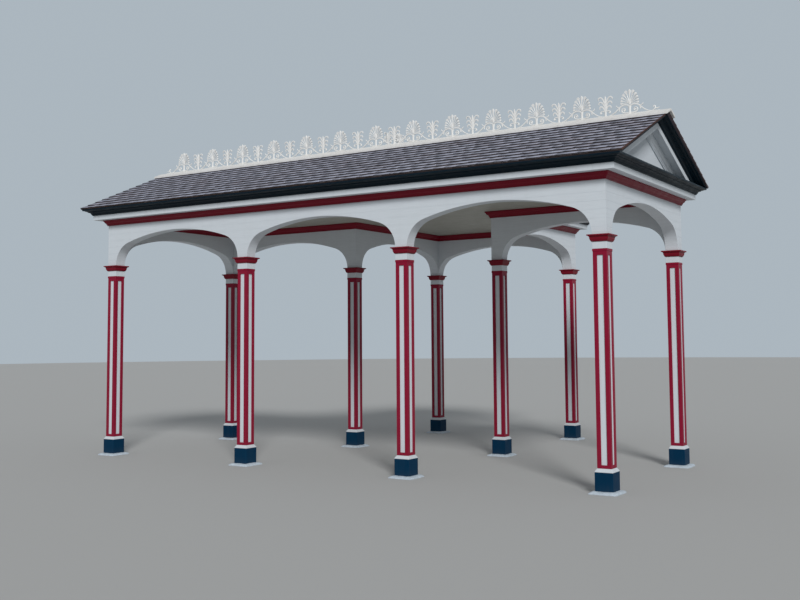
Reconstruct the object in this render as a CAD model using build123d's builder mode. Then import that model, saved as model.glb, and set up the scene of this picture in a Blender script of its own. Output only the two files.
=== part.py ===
from build123d import *
import math
import os

os.makedirs("parts", exist_ok=True)

# Plan: a main block of three bays by one, and a wing of one bay behind the middle bay
bay = 2300
eave_over = 335
verge_over = 345
# Ridge boards run past the verges
ridge_over = 25
front_y = -(2 * bay + verge_over + ridge_over - eave_over) / 2
middle_y = front_y + bay
wing_y = middle_y + bay

# Small clearance between pieces that sit in one another
seat_gap = 0.3

# Footing pads and plinths
pad_size = 274
pad_top_size = 206
pad_height = 22
pad_corner = 24
plinth_size = 188
plinth_height = 185
weathering_edge = 6
weathering_height = 36

# Shafts with one sunk panel on each face
shaft_size = 146
shaft_height = 2126
panel_width = 62
panel_depth = 12
panel_start = 32
panel_end = 38
inlay_depth = 2
fillet_size = 154
fillet_height = 24

# Neck and cap of each post
neck_size = 150
neck_height = 71
cap_size = 234
cap_height = 70
cap_fillet = 12

# Arched walls
pier = neck_size
arch_rise = 420
haunch_radius = 305
wall_height = 675

# Cornice, measured outwards from the post centres
bed_height = 74
bed_foot = 20
bed_out = 130
fascia_out = 216
fascia_thick = 28
fascia_height = 61
crown_out = 320
crown_height = 79

# Ceiling and the mould under it
ceiling_thick = 20
ceiling_drop = 41
inner_bed_height = 85
inner_bed_out = 62

# Roof: 5.2 in twelve, plates with their shingles
pitch = math.degrees(math.atan(5.2 / 12))
roof_thick = 22
ridge_board = 150
ridge_thick = 24
tympanum_thick = 30

# Cresting: palmettes with fronds between, from one low rail
crest_thick = 16
crest_step = 560
crest_rail = 6
crest_reach = 3700
palmettes_each_way = 6
ridge_flat = 30
fan_lobes = 11
fan_spread = 180
fan_root = 122
fan_wide = 108
fan_tall = 157
lobe_width = 0.11
volute_x = 66
volute_y = 47
volute_radius = 34
volute_eye = 19
stem_reach = 256
shoulder_x = 68
shoulder_y = 106
frond_height = 238
frond_pairs = [(132, 84, 224), (92, 78, 172), (54, 68, 122)]

# Levels
plinth_base = pad_height
weathering_base = plinth_base + plinth_height
shaft_base = weathering_base + weathering_height
neck_base = shaft_base + shaft_height
cap_base = neck_base + neck_height
spring = cap_base + cap_height
wall_top = spring + wall_height
bed_base = wall_top - fascia_height - bed_height
fascia_base = wall_top - fascia_height
crown_top = wall_top + crown_height
ceiling_base = wall_top - ceiling_drop
slope = math.tan(math.radians(pitch))
half_span = bay / 2
deck_ridge = crown_top + (half_span + crown_out) * slope
roof_rise = roof_thick / math.cos(math.radians(pitch))
ridge_rise = ridge_thick / math.cos(math.radians(pitch))
cap_ridge = deck_ridge + roof_rise + ridge_rise

post_points = [(x * bay, front_y) for x in (-1.5, -0.5, 0.5, 1.5)]
post_points += [(x * bay, middle_y) for x in (-1.5, -0.5, 0.5, 1.5)]
post_points += [(x * bay, wing_y) for x in (-0.5, 0.5)]


def save(piece, name):
    piece.label = name
    export_step(piece, f"parts/{name}.step")


def outline(out):
    # The T-shaped plan, moved outwards from the post centres
    side = 1.5 * bay + out
    inner = 0.5 * bay + out
    return [
        (-side, front_y - out),
        (side, front_y - out),
        (side, middle_y + out),
        (inner, middle_y + out),
        (inner, wing_y + out),
        (-inner, wing_y + out),
        (-inner, middle_y + out),
        (-side, middle_y + out),
    ]


# Footing pads with sloping sides
pad_slope = math.degrees(math.atan((pad_size - pad_top_size) / 2 / pad_height))
with BuildPart() as one_pad:
    with BuildSketch() as pad_foot:
        Rectangle(pad_size, pad_size)
        chamfer(pad_foot.vertices(), pad_corner)
    extrude(amount=pad_height, taper=pad_slope)
with BuildPart() as footing_pads:
    with Locations(*post_points):
        add(one_pad.part)
save(footing_pads.part, "footing_pads")

# Plinth blocks
with BuildPart() as one_plinth:
    with BuildSketch(Plane.XY.offset(plinth_base)):
        Rectangle(plinth_size, plinth_size)
    extrude(amount=plinth_height)
    chamfer(one_plinth.edges().filter_by(Axis.Z), 3)
with BuildPart() as plinths:
    with Locations(*post_points):
        add(one_plinth.part)
save(plinths.part, "plinths")

# Sloped weatherings between plinth and shaft
weathering_fall = weathering_height - weathering_edge
weathering_slope = math.degrees(math.atan((plinth_size - shaft_size) / 2 / weathering_fall))
with BuildPart() as one_weathering:
    with BuildSketch(Plane.XY.offset(weathering_base)):
        Rectangle(plinth_size, plinth_size)
    extrude(amount=weathering_edge)
    with BuildSketch(Plane.XY.offset(weathering_base + weathering_edge)):
        Rectangle(plinth_size, plinth_size)
    extrude(amount=weathering_fall, taper=weathering_slope)
with BuildPart() as weatherings:
    with Locations(*post_points):
        add(one_weathering.part)
save(weatherings.part, "weatherings")

# Shafts: square, a sunk panel on each face, a fillet at the head
panel_height = shaft_height - fillet_height - panel_start - panel_end
panel_middle = shaft_base + panel_start + panel_height / 2
with BuildPart() as one_shaft:
    with BuildSketch(Plane.XY.offset(shaft_base)):
        Rectangle(shaft_size, shaft_size)
    extrude(amount=shaft_height - fillet_height)
    with BuildSketch(Plane.XY.offset(neck_base - fillet_height)):
        Rectangle(fillet_size, fillet_size)
    extrude(amount=fillet_height)
    with PolarLocations(shaft_size / 2 - panel_depth / 2, 4):
        with Locations((0, 0, panel_middle)):
            Box(panel_depth, panel_width, panel_height, mode=Mode.SUBTRACT)
with BuildPart() as shafts:
    with Locations(*post_points):
        add(one_shaft.part)
save(shafts.part, "shafts")

# White panels let into the shafts
with BuildPart() as one_inlay:
    with PolarLocations(shaft_size / 2 - panel_depth + inlay_depth / 2, 4):
        with Locations((0, 0, panel_middle)):
            Box(inlay_depth, panel_width - 2 * seat_gap, panel_height - 2 * seat_gap)
with BuildPart() as shaft_panels:
    with Locations(*post_points):
        add(one_inlay.part)
save(shaft_panels.part, "shaft_panels")

# Necks
with BuildPart() as one_neck:
    with BuildSketch(Plane.XY.offset(neck_base)):
        Rectangle(neck_size, neck_size)
    extrude(amount=neck_height)
with BuildPart() as necks:
    with Locations(*post_points):
        add(one_neck.part)
save(necks.part, "necks")


def cap_silhouette():
    # Half of the moulded cap, mirrored: an ovolo, a flat band, a cove and a thin fillet
    foot = neck_size / 2 + 4
    rim = cap_size / 2
    reach = rim - foot
    top = cap_height - cap_fillet
    with BuildSketch() as side:
        with BuildLine():
            Polyline(
                (0, 0),
                (foot + 0.08 * reach, 0),
                (foot + 0.27 * reach, 0.17 * cap_height),
                (foot + 0.42 * reach, 0.37 * cap_height),
                (foot + 0.48 * reach, 0.62 * cap_height),
                (foot + 0.58 * reach, 0.72 * cap_height),
                (foot + 0.78 * reach, 0.8 * cap_height),
                (rim - 2, top),
                (rim, top),
                (rim, cap_height),
                (0, cap_height),
                close=True,
            )
        make_face()
        mirror(about=Plane.YZ)
    return side.sketch


# Moulded caps
with BuildPart() as one_cap:
    with BuildSketch(Plane.XZ):
        add(cap_silhouette())
    extrude(amount=cap_size, both=True)
    with BuildSketch(Plane.YZ):
        add(cap_silhouette())
    extrude(amount=cap_size, both=True, mode=Mode.INTERSECT)
with BuildPart() as caps:
    with Locations(*[(x, y, cap_base) for x, y in post_points]):
        add(one_cap.part)
save(caps.part, "caps")


def arched_wall(start, end):
    # One bay between post centres, outside face towards -Y.
    # An end is 1 at an outer corner, -1 at an inner corner and 0 where it butts.
    arch_half = (bay - pier) / 2
    crown_radius = (arch_half**2 - 2 * arch_half * haunch_radius + arch_rise**2) / (
        2 * (arch_rise - haunch_radius)
    )
    haunch_x = arch_half - haunch_radius
    centre_z = spring + arch_rise - crown_radius
    lean = math.atan2(haunch_x, spring - centre_z)
    join_x = crown_radius * math.sin(lean)
    join_z = centre_z + crown_radius * math.cos(lean)
    half_lean = (math.pi / 2 + lean) / 2
    mid_x = haunch_x + haunch_radius * math.sin(half_lean)
    mid_z = spring + haunch_radius * math.cos(half_lean)
    reach = (bay + pier) / 2
    with BuildPart() as wall:
        with BuildSketch(Plane.XZ):
            with BuildLine():
                Polyline(
                    (-arch_half, spring),
                    (-reach, spring),
                    (-reach, wall_top),
                    (reach, wall_top),
                    (reach, spring),
                    (arch_half, spring),
                )
                ThreePointArc((arch_half, spring), (mid_x, mid_z), (join_x, join_z))
                ThreePointArc((join_x, join_z), (0, spring + arch_rise), (-join_x, join_z))
                ThreePointArc((-join_x, join_z), (-mid_x, mid_z), (-arch_half, spring))
            make_face()
        extrude(amount=pier / 2, both=True)
        with BuildSketch(Plane.XY.offset(spring)):
            with BuildLine():
                Polyline(
                    (-(bay + start * pier) / 2, -pier / 2),
                    ((bay + end * pier) / 2, -pier / 2),
                    ((bay - end * pier) / 2, pier / 2),
                    (-(bay - start * pier) / 2, pier / 2),
                    close=True,
                )
            make_face()
        extrude(amount=wall_height, mode=Mode.INTERSECT)
    return wall.part


# Ten arched walls: name, middle, turn and the kind of each end
walls = [
    ("arch_front_left", (-bay, front_y), 0, 1, 0),
    ("arch_front_middle", (0, front_y), 0, 0, 0),
    ("arch_front_right", (bay, front_y), 0, 0, 1),
    ("arch_right_end", (1.5 * bay, front_y + bay / 2), 90, 1, 1),
    ("arch_back_right", (bay, middle_y), 180, 1, -1),
    ("arch_wing_right", (0.5 * bay, middle_y + bay / 2), 90, -1, 1),
    ("arch_wing_back", (0, wing_y), 180, 1, 1),
    ("arch_wing_left", (-0.5 * bay, middle_y + bay / 2), -90, 1, -1),
    ("arch_back_left", (-bay, middle_y), 180, -1, 1),
    ("arch_left_end", (-1.5 * bay, front_y + bay / 2), -90, 1, 1),
]
for name, spot, turn, start, end in walls:
    with BuildPart() as wall_piece:
        with Locations(Location((spot[0], spot[1], 0), (0, 0, turn))):
            add(arched_wall(start, end))
    save(wall_piece.part, name)


# A section plane at the middle of the front run: x outwards, y up
section = Plane(origin=(0, front_y, 0), x_dir=(0, -1, 0), z_dir=(-1, 0, 0))
ring_points = [(0, front_y)] + outline(0)[1:] + outline(0)[:1] + [(0, front_y)]


def bed_profile(back, base, height, out):
    # Fillet at the foot, a cyma in two arcs, fillet at the head
    foot = base + 0.18 * height
    head = base + 0.82 * height
    middle = (back + bed_foot + out) / 2
    half = (foot + head) / 2
    with BuildSketch() as side:
        with BuildLine():
            Polyline(
                (back, base),
                (back + bed_foot - 6, base),
                (back + bed_foot - 6, foot),
                (back + bed_foot, foot),
                (back + bed_foot + 5, foot + 0.22 * height),
                (middle, half),
                (out - 14, half + 0.14 * height),
                (out - 6, head),
                (out, head),
                (out, base + height),
                (back, base + height),
                close=True,
            )
        make_face()
    return side.sketch


# Red mould under the fascia, outside
with BuildPart() as bed_mould:
    with BuildLine() as ring:
        Polyline(*ring_points)
    with BuildSketch(section):
        add(bed_profile(pier / 2, bed_base, bed_height, bed_out))
    sweep(path=ring.line, transition=Transition.RIGHT)
save(bed_mould.part, "bed_mould")

# White fascia with its soffit board
with BuildPart() as cornice_fascia:
    with BuildLine() as ring:
        Polyline(*ring_points)
    with BuildSketch(section):
        with BuildLine():
            Polyline(
                (pier / 2, fascia_base),
                (fascia_out, fascia_base),
                (fascia_out, wall_top),
                (fascia_out - fascia_thick, wall_top),
                (fascia_out - fascia_thick, fascia_base + 18),
                (pier / 2, fascia_base + 18),
                close=True,
            )
        make_face()
    sweep(path=ring.line, transition=Transition.RIGHT)
save(cornice_fascia.part, "cornice_fascia")


def crown_profile(back, low, high):
    # Dark crown: a fillet, an ovolo, a step, a cove and a broad fillet at the edge
    rise = high - low
    out = crown_out
    foot = fascia_out + 12
    with BuildSketch() as side:
        with BuildLine():
            Polyline(
                (back, low),
                (foot, low),
                (foot, low + 0.14 * rise),
                (foot + 6, low + 0.14 * rise),
                (foot + 14, low + 0.38 * rise),
                (out - 56, low + 0.52 * rise),
                (out - 50, low + 0.52 * rise),
                (out - 50, low + 0.62 * rise),
                (out - 30, low + 0.66 * rise),
                (out - 14, low + 0.78 * rise),
                (out, low + 0.78 * rise),
                (out, high),
                (back, high),
                close=True,
            )
        make_face()
    return side.sketch


# Dark crown over the fascia
with BuildPart() as cornice_crown:
    with BuildLine() as ring:
        Polyline(*ring_points)
    with BuildSketch(section):
        add(crown_profile(0, wall_top, crown_top))
    sweep(path=ring.line, transition=Transition.RIGHT)
save(cornice_crown.part, "cornice_crown")

# Flat ceiling between the walls
with BuildPart() as ceiling:
    with BuildSketch(Plane.XY.offset(ceiling_base)):
        with BuildLine():
            Polyline(*outline(-pier / 2 - seat_gap), close=True)
        make_face()
    extrude(amount=ceiling_thick)
save(ceiling.part, "ceiling")

# Red mould inside, under the ceiling
inner_section = Plane(origin=(0, front_y, 0), x_dir=(0, 1, 0), z_dir=(1, 0, 0))
with BuildPart() as ceiling_mould:
    with BuildLine() as ring:
        Polyline(*ring_points)
    with BuildSketch(inner_section):
        inner_base = ceiling_base - inner_bed_height
        add(bed_profile(pier / 2, inner_base, inner_bed_height, pier / 2 + inner_bed_out))
    sweep(path=ring.line, transition=Transition.RIGHT)
save(ceiling_mould.part, "ceiling_mould")

# Gable at the origin, looking towards +X, ridge over y = 0; x runs outwards from the post row
gable_spots = [
    Location((1.5 * bay, front_y + bay / 2, 0), (0, 0, 0)),
    Location((-1.5 * bay, front_y + bay / 2, 0), (0, 0, 180)),
    Location((0, wing_y, 0), (0, 0, 90)),
]
rake_run = half_span + crown_out
rake_section = Plane(origin=(0, -rake_run, crown_top), x_dir=(1, 0, 0), z_dir=(0, -1, -slope))


def rake_path(drop):
    # Along the underside of the roof plates, lowered square to the slope
    lower = drop / math.cos(math.atan(slope))
    return [
        (0, -rake_run, crown_top - lower),
        (0, 0, deck_ridge - lower),
        (0, rake_run, crown_top - lower),
    ]


# Raking crowns of the three gables
with BuildPart() as one_rake:
    with BuildLine() as rake:
        Polyline(*rake_path(0))
    with BuildSketch(rake_section):
        add(crown_profile(fascia_out - fascia_thick, -crown_height, 0))
    sweep(path=rake.line, transition=Transition.RIGHT)
    split(bisect_by=Plane.XY.offset(crown_top), keep=Keep.TOP)
with BuildPart() as raking_crowns:
    with Locations(*gable_spots):
        add(one_rake.part)
save(raking_crowns.part, "raking_crowns")

# Raking fascias, white, framing the tympanum
with BuildPart() as one_frame:
    with BuildLine() as rake:
        Polyline(*rake_path(0))
    with BuildSketch(rake_section):
        with BuildLine():
            low = -crown_height - fascia_height
            Polyline(
                (pier / 2, low + 18),
                (pier / 2, low),
                (fascia_out, low),
                (fascia_out, -crown_height),
                (fascia_out - fascia_thick, -crown_height),
                (fascia_out - fascia_thick, low + 18),
                close=True,
            )
        make_face()
    sweep(path=rake.line, transition=Transition.RIGHT)
    split(bisect_by=Plane.XY.offset(crown_top), keep=Keep.TOP)
with BuildPart() as raking_fascias:
    with Locations(*gable_spots):
        add(one_frame.part)
save(raking_fascias.part, "raking_fascias")

# Raking bed moulds, white
with BuildPart() as one_bed:
    with BuildLine() as rake:
        Polyline(*rake_path(0))
    with BuildSketch(rake_section):
        low = -crown_height - fascia_height - bed_height
        add(bed_profile(pier / 2, low, bed_height, bed_out))
    sweep(path=rake.line, transition=Transition.RIGHT)
    split(bisect_by=Plane.XY.offset(crown_top), keep=Keep.TOP)
with BuildPart() as raking_moulds:
    with Locations(*gable_spots):
        add(one_bed.part)
save(raking_moulds.part, "raking_moulds")

# Tympanum boards, flush with the walls below
with BuildPart() as one_tympanum:
    with BuildSketch(Plane.YZ.offset(pier / 2 - tympanum_thick)):
        with BuildLine():
            Polyline(
                (-rake_run, crown_top),
                (rake_run, crown_top),
                (0, deck_ridge),
                close=True,
            )
        make_face()
    extrude(amount=tympanum_thick)
with BuildPart() as tympanums:
    with Locations(*gable_spots):
        add(one_tympanum.part)
save(tympanums.part, "tympanums")

# Roof plates: the section of one slope, falling towards +Y from a ridge over y = 0
eave_run = half_span + eave_over
side_reach = 1.5 * bay + verge_over
wing_reach = wing_y - (front_y + half_span) + verge_over


def slope_profile():
    # From the ridge down to a plumb-cut eave
    with BuildSketch() as side:
        with BuildLine():
            Polyline(
                (0, deck_ridge),
                (eave_run, deck_ridge - eave_run * slope),
                (eave_run, deck_ridge - eave_run * slope + roof_rise),
                (0, deck_ridge + roof_rise),
                close=True,
            )
        make_face()
    return side.sketch


with BuildPart() as main_slope:
    with BuildSketch(Plane.YZ):
        add(slope_profile())
    extrude(amount=side_reach, both=True)
with BuildPart() as half_slope:
    with BuildSketch(Plane.YZ):
        add(slope_profile())
    extrude(amount=-side_reach)
    valley = Plane(origin=(0, 0, 0), z_dir=(1, 1, 0))
    split(bisect_by=valley, keep=Keep.BOTTOM)
with BuildPart() as wing_slope:
    with BuildSketch(Plane.YZ):
        add(slope_profile())
    extrude(amount=wing_reach)
    valley = Plane(origin=(0, 0, 0), z_dir=(1, -1, 0))
    split(bisect_by=valley, keep=Keep.TOP)

ridge_y = front_y + half_span
with BuildPart() as roof_front:
    with Locations(Location((0, ridge_y, 0), (0, 0, 180))):
        add(main_slope.part)
save(roof_front.part, "roof_front")
with BuildPart() as roof_back_left:
    with Locations((0, ridge_y, 0)):
        add(half_slope.part)
save(roof_back_left.part, "roof_back_left")
with BuildPart() as roof_back_right:
    add(roof_back_left.part.mirror(Plane.YZ))
save(roof_back_right.part, "roof_back_right")
with BuildPart() as roof_wing_left:
    with Locations(Location((0, ridge_y, 0), (0, 0, 90))):
        add(wing_slope.part)
save(roof_wing_left.part, "roof_wing_left")
with BuildPart() as roof_wing_right:
    add(roof_wing_left.part.mirror(Plane.YZ))
save(roof_wing_right.part, "roof_wing_right")

# White ridge boards, lapped over the top of every slope, with a narrow flat for the cresting
board_run = ridge_board * math.cos(math.radians(pitch))
crest_base = cap_ridge - ridge_flat / 2 * slope


def board_profile():
    under = deck_ridge + roof_rise
    with BuildSketch() as side:
        with BuildLine():
            Polyline(
                (0, under),
                (board_run, under - board_run * slope),
                (board_run, cap_ridge - board_run * slope),
                (ridge_flat / 2, crest_base),
                (0, crest_base),
                close=True,
            )
        make_face()
    return side.sketch


with BuildPart() as main_board:
    with BuildSketch(Plane.YZ):
        add(board_profile())
    extrude(amount=side_reach + ridge_over, both=True)
with BuildPart() as half_board:
    with BuildSketch(Plane.YZ):
        add(board_profile())
    extrude(amount=-side_reach - ridge_over)
    split(bisect_by=Plane(origin=(0, 0, 0), z_dir=(1, 1, 0)), keep=Keep.BOTTOM)
with BuildPart() as wing_board:
    with BuildSketch(Plane.YZ):
        add(board_profile())
    extrude(amount=wing_reach + ridge_over)
    split(bisect_by=Plane(origin=(0, 0, 0), z_dir=(1, -1, 0)), keep=Keep.TOP)
with BuildPart() as ridge_boards:
    with Locations(Location((0, ridge_y, 0), (0, 0, 180))):
        add(main_board.part)
    with Locations((0, ridge_y, 0)):
        add(half_board.part)
        add(half_board.part.mirror(Plane.YZ))
    with Locations(Location((0, ridge_y, 0), (0, 0, 90))):
        add(wing_board.part)
        add(wing_board.part.mirror(Plane.XZ))
save(ridge_boards.part, "ridge_boards")


def palmette():
    # A fan of lobes on a waisted foot with two volutes: x along the ridge, y up
    with BuildSketch() as fan:
        for k in range(fan_lobes):
            turn = math.radians(k * fan_spread / (fan_lobes - 1) - fan_spread / 2)
            length = 1 / math.hypot(math.sin(turn) / fan_wide, math.cos(turn) / fan_tall)
            half = lobe_width * length
            shoulder = length - 1.2 * half
            with Locations(Location((0, fan_root), (0, 0, -math.degrees(turn)))):
                Polygon((-5, 0), (-half, shoulder), (0, length), (half, shoulder), (5, 0), align=None)
        waist = fan_root / 2
        Polygon((-20, 0), (-9, waist), (-18, fan_root), (18, fan_root), (9, waist), (20, 0), align=None)
        # The link from the foot meets the lower inside corner of each volute
        link_x = volute_x - volute_radius / 2
        link_y = volute_y - volute_radius * math.sin(math.radians(60))
        for side in (-1, 1):
            with Locations((side * volute_x, volute_y)):
                RegularPolygon(volute_radius, 6)
            Polygon((0, 6), (0, 26), (side * link_x, 26), (side * link_x, link_y), align=None)
            with Locations((side * volute_x, volute_y)):
                RegularPolygon(volute_eye, 4, mode=Mode.SUBTRACT)
    return fan.sketch


def stems():
    # From a palmette's root, over the volutes and down to the rail, with one leaf on each
    with BuildSketch() as pair:
        for side in (-1, 1):
            Polygon(
                (0, shoulder_y),
                (side * shoulder_x, shoulder_y),
                (side * (shoulder_x + 46), shoulder_y - 24),
                (side * (shoulder_x + 82), shoulder_y + 6),
                (side * (shoulder_x + 74), shoulder_y - 48),
                (side * (stem_reach - 48), 16),
                (side * stem_reach, 0),
                (side * (stem_reach - 56), 0),
                (side * (shoulder_x + 58), shoulder_y - 56),
                (side * shoulder_x, shoulder_y - 14),
                (0, shoulder_y - 16),
                align=None,
            )
    return pair.sketch


def frond():
    # The smaller upright: a leaf on a stem, three pairs of drooping fronds and a pair of buds
    tip = frond_height
    with BuildSketch() as plant:
        Polygon((-13, 0), (-9, tip - 34), (0, tip), (9, tip - 34), (13, 0), align=None)
        for side in (-1, 1):
            for foot, reach, top in frond_pairs:
                Polygon(
                    (0, foot),
                    (side * 0.6 * reach, top),
                    (side * reach, top - 30),
                    (side * 0.56 * reach, top - 16),
                    (0, foot - 22),
                    align=None,
                )
            Polygon((0, 66), (side * 58, 62), (side * 46, 36), (0, 48), align=None)
    return plant.sketch


def end_scroll():
    # The curl past the last palmette, from the foot of its stem
    with BuildSketch() as curl:
        Polygon((-10, 0), (22, 30), (12, 52), (32, 60), (44, 36), (84, 34), (38, 18), (14, 0), align=None)
    return curl.sketch


with BuildPart() as fan_piece:
    with BuildSketch(Plane.XZ):
        add(palmette())
        add(stems())
    extrude(amount=crest_thick / 2, both=True)
with BuildPart() as frond_piece:
    with BuildSketch(Plane.XZ):
        add(frond())
    extrude(amount=crest_thick / 2, both=True)
with BuildPart() as end_piece:
    with BuildSketch(Plane.XZ):
        add(end_scroll())
    extrude(amount=crest_thick / 2, both=True)

# Cresting along the main ridge: a palmette at each step and a frond between each two
last = palmettes_each_way * crest_step + stem_reach
main_steps = range(-palmettes_each_way, palmettes_each_way + 1)
with BuildPart() as cresting_main:
    with Locations((0, ridge_y, crest_base + crest_rail / 2)):
        Box(2 * crest_reach, crest_thick, crest_rail)
    with Locations(*[(k * crest_step, ridge_y, crest_base) for k in main_steps]):
        add(fan_piece.part)
    with Locations(*[((k + 0.5) * crest_step, ridge_y, crest_base) for k in main_steps[:-1]]):
        add(frond_piece.part)
    with Locations((last, ridge_y, crest_base), Location((-last, ridge_y, crest_base), (0, 0, 180))):
        add(end_piece.part)
save(cresting_main.part, "cresting_main")

# Cresting along the wing's ridge, from the palmette at the crossing
wing_steps = range(1, palmettes_each_way + 1)
with BuildPart() as cresting_wing:
    rail_start = crest_thick / 2 + seat_gap
    with Locations((0, ridge_y + (rail_start + crest_reach) / 2, crest_base + crest_rail / 2)):
        Box(crest_thick, crest_reach - rail_start, crest_rail)
    with Locations(
        *[Location((0, ridge_y + k * crest_step, crest_base), (0, 0, 90)) for k in wing_steps]
    ):
        add(fan_piece.part)
    with Locations(
        *[Location((0, ridge_y + (k - 0.5) * crest_step, crest_base), (0, 0, 90)) for k in wing_steps]
    ):
        add(frond_piece.part)
    with Locations(Location((0, ridge_y + last, crest_base), (0, 0, 90))):
        add(end_piece.part)
save(cresting_wing.part, "cresting_wing")
print("done")
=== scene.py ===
import math
import random

import bmesh
import bpy
from mathutils import Matrix, Vector, noise


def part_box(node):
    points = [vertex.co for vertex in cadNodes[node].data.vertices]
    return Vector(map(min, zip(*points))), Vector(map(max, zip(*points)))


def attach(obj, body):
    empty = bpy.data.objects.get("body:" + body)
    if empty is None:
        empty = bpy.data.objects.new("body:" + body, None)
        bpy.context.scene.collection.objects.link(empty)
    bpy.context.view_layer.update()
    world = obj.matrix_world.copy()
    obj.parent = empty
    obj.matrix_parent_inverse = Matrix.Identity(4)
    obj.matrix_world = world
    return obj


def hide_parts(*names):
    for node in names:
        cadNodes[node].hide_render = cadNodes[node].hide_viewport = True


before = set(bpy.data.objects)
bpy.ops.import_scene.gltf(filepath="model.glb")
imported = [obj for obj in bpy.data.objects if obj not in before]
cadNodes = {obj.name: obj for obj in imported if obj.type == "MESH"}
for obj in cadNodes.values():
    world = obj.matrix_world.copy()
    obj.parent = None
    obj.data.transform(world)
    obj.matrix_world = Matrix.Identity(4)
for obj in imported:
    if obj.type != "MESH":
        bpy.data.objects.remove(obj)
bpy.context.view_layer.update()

# The plan that every piece shares, in metres: ten posts round a T of one-bay squares
plan = {
    "bay": 2.3,
    "frontY": -2.3175,
    "middleY": -0.0175,
    "wingY": 2.2825,
    "ridgeY": -1.1675,
    "pierHalf": 0.075,
}
posts = [(k * plan["bay"], plan["frontY"]) for k in (-1.5, -0.5, 0.5, 1.5)]
posts += [(k * plan["bay"], plan["middleY"]) for k in (-1.5, -0.5, 0.5, 1.5)]
posts += [(k * plan["bay"], plan["wingY"]) for k in (-0.5, 0.5)]


# Small helpers for nodes

def wire(tree, kind, ins=(), props=None, **named):
    node = tree.nodes.new(kind)
    for key, value in (props or {}).items():
        setattr(node, key, value)
    pairs = list(enumerate(ins)) + [(key.replace("_", " "), value) for key, value in named.items()]
    for key, value in pairs:
        if isinstance(value, bpy.types.NodeSocket):
            tree.links.new(value, node.inputs[key])
        elif value is not None:
            node.inputs[key].default_value = value
    return node


def maths(tree, operation, a, b=None, clamp=False):
    return wire(tree, "ShaderNodeMath", (a, b), {"operation": operation, "use_clamp": clamp}).outputs[0]


def remap(tree, value, low, high, toLow=0.0, toHigh=1.0):
    return wire(tree, "ShaderNodeMapRange", (value, low, high, toLow, toHigh)).outputs[0]


def blend(tree, factor, a, b, mode="MIX"):
    node = wire(tree, "ShaderNodeMix", (), {"data_type": "RGBA", "blend_type": mode})
    for index, value in ((0, factor), (6, a), (7, b)):
        if isinstance(value, bpy.types.NodeSocket):
            tree.links.new(value, node.inputs[index])
        else:
            node.inputs[index].default_value = value
    return node.outputs[2]


def stretch(tree, vector, scale):
    return wire(tree, "ShaderNodeMapping", Vector=vector, Scale=scale).outputs[0]


def cloudy(tree, vector, scale, detail=3.0, roughness=0.5):
    node = wire(tree, "ShaderNodeTexNoise", Vector=vector, Scale=scale, Detail=detail, Roughness=roughness)
    return node.outputs[0]


def newGroup(name, inputs, outputs):
    group = bpy.data.node_groups.new(name, "ShaderNodeTree")
    for label, kind, value in inputs:
        socket = group.interface.new_socket(name=label, in_out="INPUT", socket_type="NodeSocket" + kind)
        socket.default_value = value
    for label, kind in outputs:
        group.interface.new_socket(name=label, in_out="OUTPUT", socket_type="NodeSocket" + kind)
    return group, group.nodes.new("NodeGroupInput").outputs, group.nodes.new("NodeGroupOutput").inputs


def tint(r, g, b):
    return (r, g, b, 1.0)


# Brushed outdoor paint: cloudy fading, brush marks, chips on worn edges and a few specks
paintNoise = {
    "clouds": 2.3, "patches": 9.0, "chips": 70.0, "specks": 150.0, "peel": 260.0,  # scales
    "brushShade": 0.09, "chipReach": 0.62, "chipSoft": 0.02, "speckFrom": 0.755, "speckTo": 0.79,
    "bareColor": 0.75, "bareRough": 0.25, "bareDepth": 0.8, "brushHeight": 0.6, "peelHeight": 0.25,
}
paintGroup, pin, pout = newGroup(
    "brushedPaint",
    [
        ("Place", "Vector", (0, 0, 0)),
        ("Brush", "Vector", (0, 0, 0)),
        ("Paint", "Color", tint(0.8, 0.8, 0.8)),
        ("Under", "Color", tint(0.4, 0.35, 0.3)),
        ("Fade", "Float", 0.08),
        ("Worn", "Float", 0.0),
        ("Chips", "Float", 0.3),
        ("Sheen", "Float", 0.45),
    ],
    [("Color", "Color"), ("Roughness", "Float"), ("Height", "Float")],
)
g, look = paintGroup, paintNoise
clouds = cloudy(g, pin["Place"], look["clouds"], 4.0)
patches = cloudy(g, pin["Place"], look["patches"], 3.0)
marks = cloudy(g, pin["Brush"], 1.0, 4.0, 0.6)
level = maths(g, "ADD", maths(g, "MULTIPLY", clouds, 0.6), maths(g, "MULTIPLY", patches, 0.4))
shade = remap(g, level, 0.35, 0.65)
faded = blend(g, maths(g, "MULTIPLY", shade, pin["Fade"]), pin["Paint"], pin["Under"])
streaked = blend(g, remap(g, marks, 0.3, 0.8, 0.0, look["brushShade"]), faded, tint(0, 0, 0))
chipNoise = cloudy(g, pin["Place"], look["chips"], 4.0, 0.65)
chipShare = maths(g, "MULTIPLY", pin["Worn"], pin["Chips"])
chipEdge = maths(g, "SUBTRACT", 1.0, maths(g, "MULTIPLY", chipShare, look["chipReach"]))
chipMask = remap(g, maths(g, "SUBTRACT", chipNoise, chipEdge), -look["chipSoft"], look["chipSoft"])
speck = remap(g, cloudy(g, pin["Place"], look["specks"], 2.0), look["speckFrom"], look["speckTo"])
bare = maths(g, "MAXIMUM", chipMask, maths(g, "MULTIPLY", speck, pin["Chips"]), True)
g.links.new(blend(g, maths(g, "MULTIPLY", bare, look["bareColor"]), streaked, pin["Under"]), pout["Color"])
dull = maths(g, "ADD", pin["Sheen"], remap(g, patches, 0.3, 0.7, -0.06, 0.1))
g.links.new(maths(g, "ADD", dull, maths(g, "MULTIPLY", bare, look["bareRough"]), True), pout["Roughness"])
peel = maths(g, "MULTIPLY", cloudy(g, pin["Place"], look["peel"], 2.0), look["peelHeight"])
relief = maths(g, "ADD", maths(g, "MULTIPLY", marks, look["brushHeight"]), peel)
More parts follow.
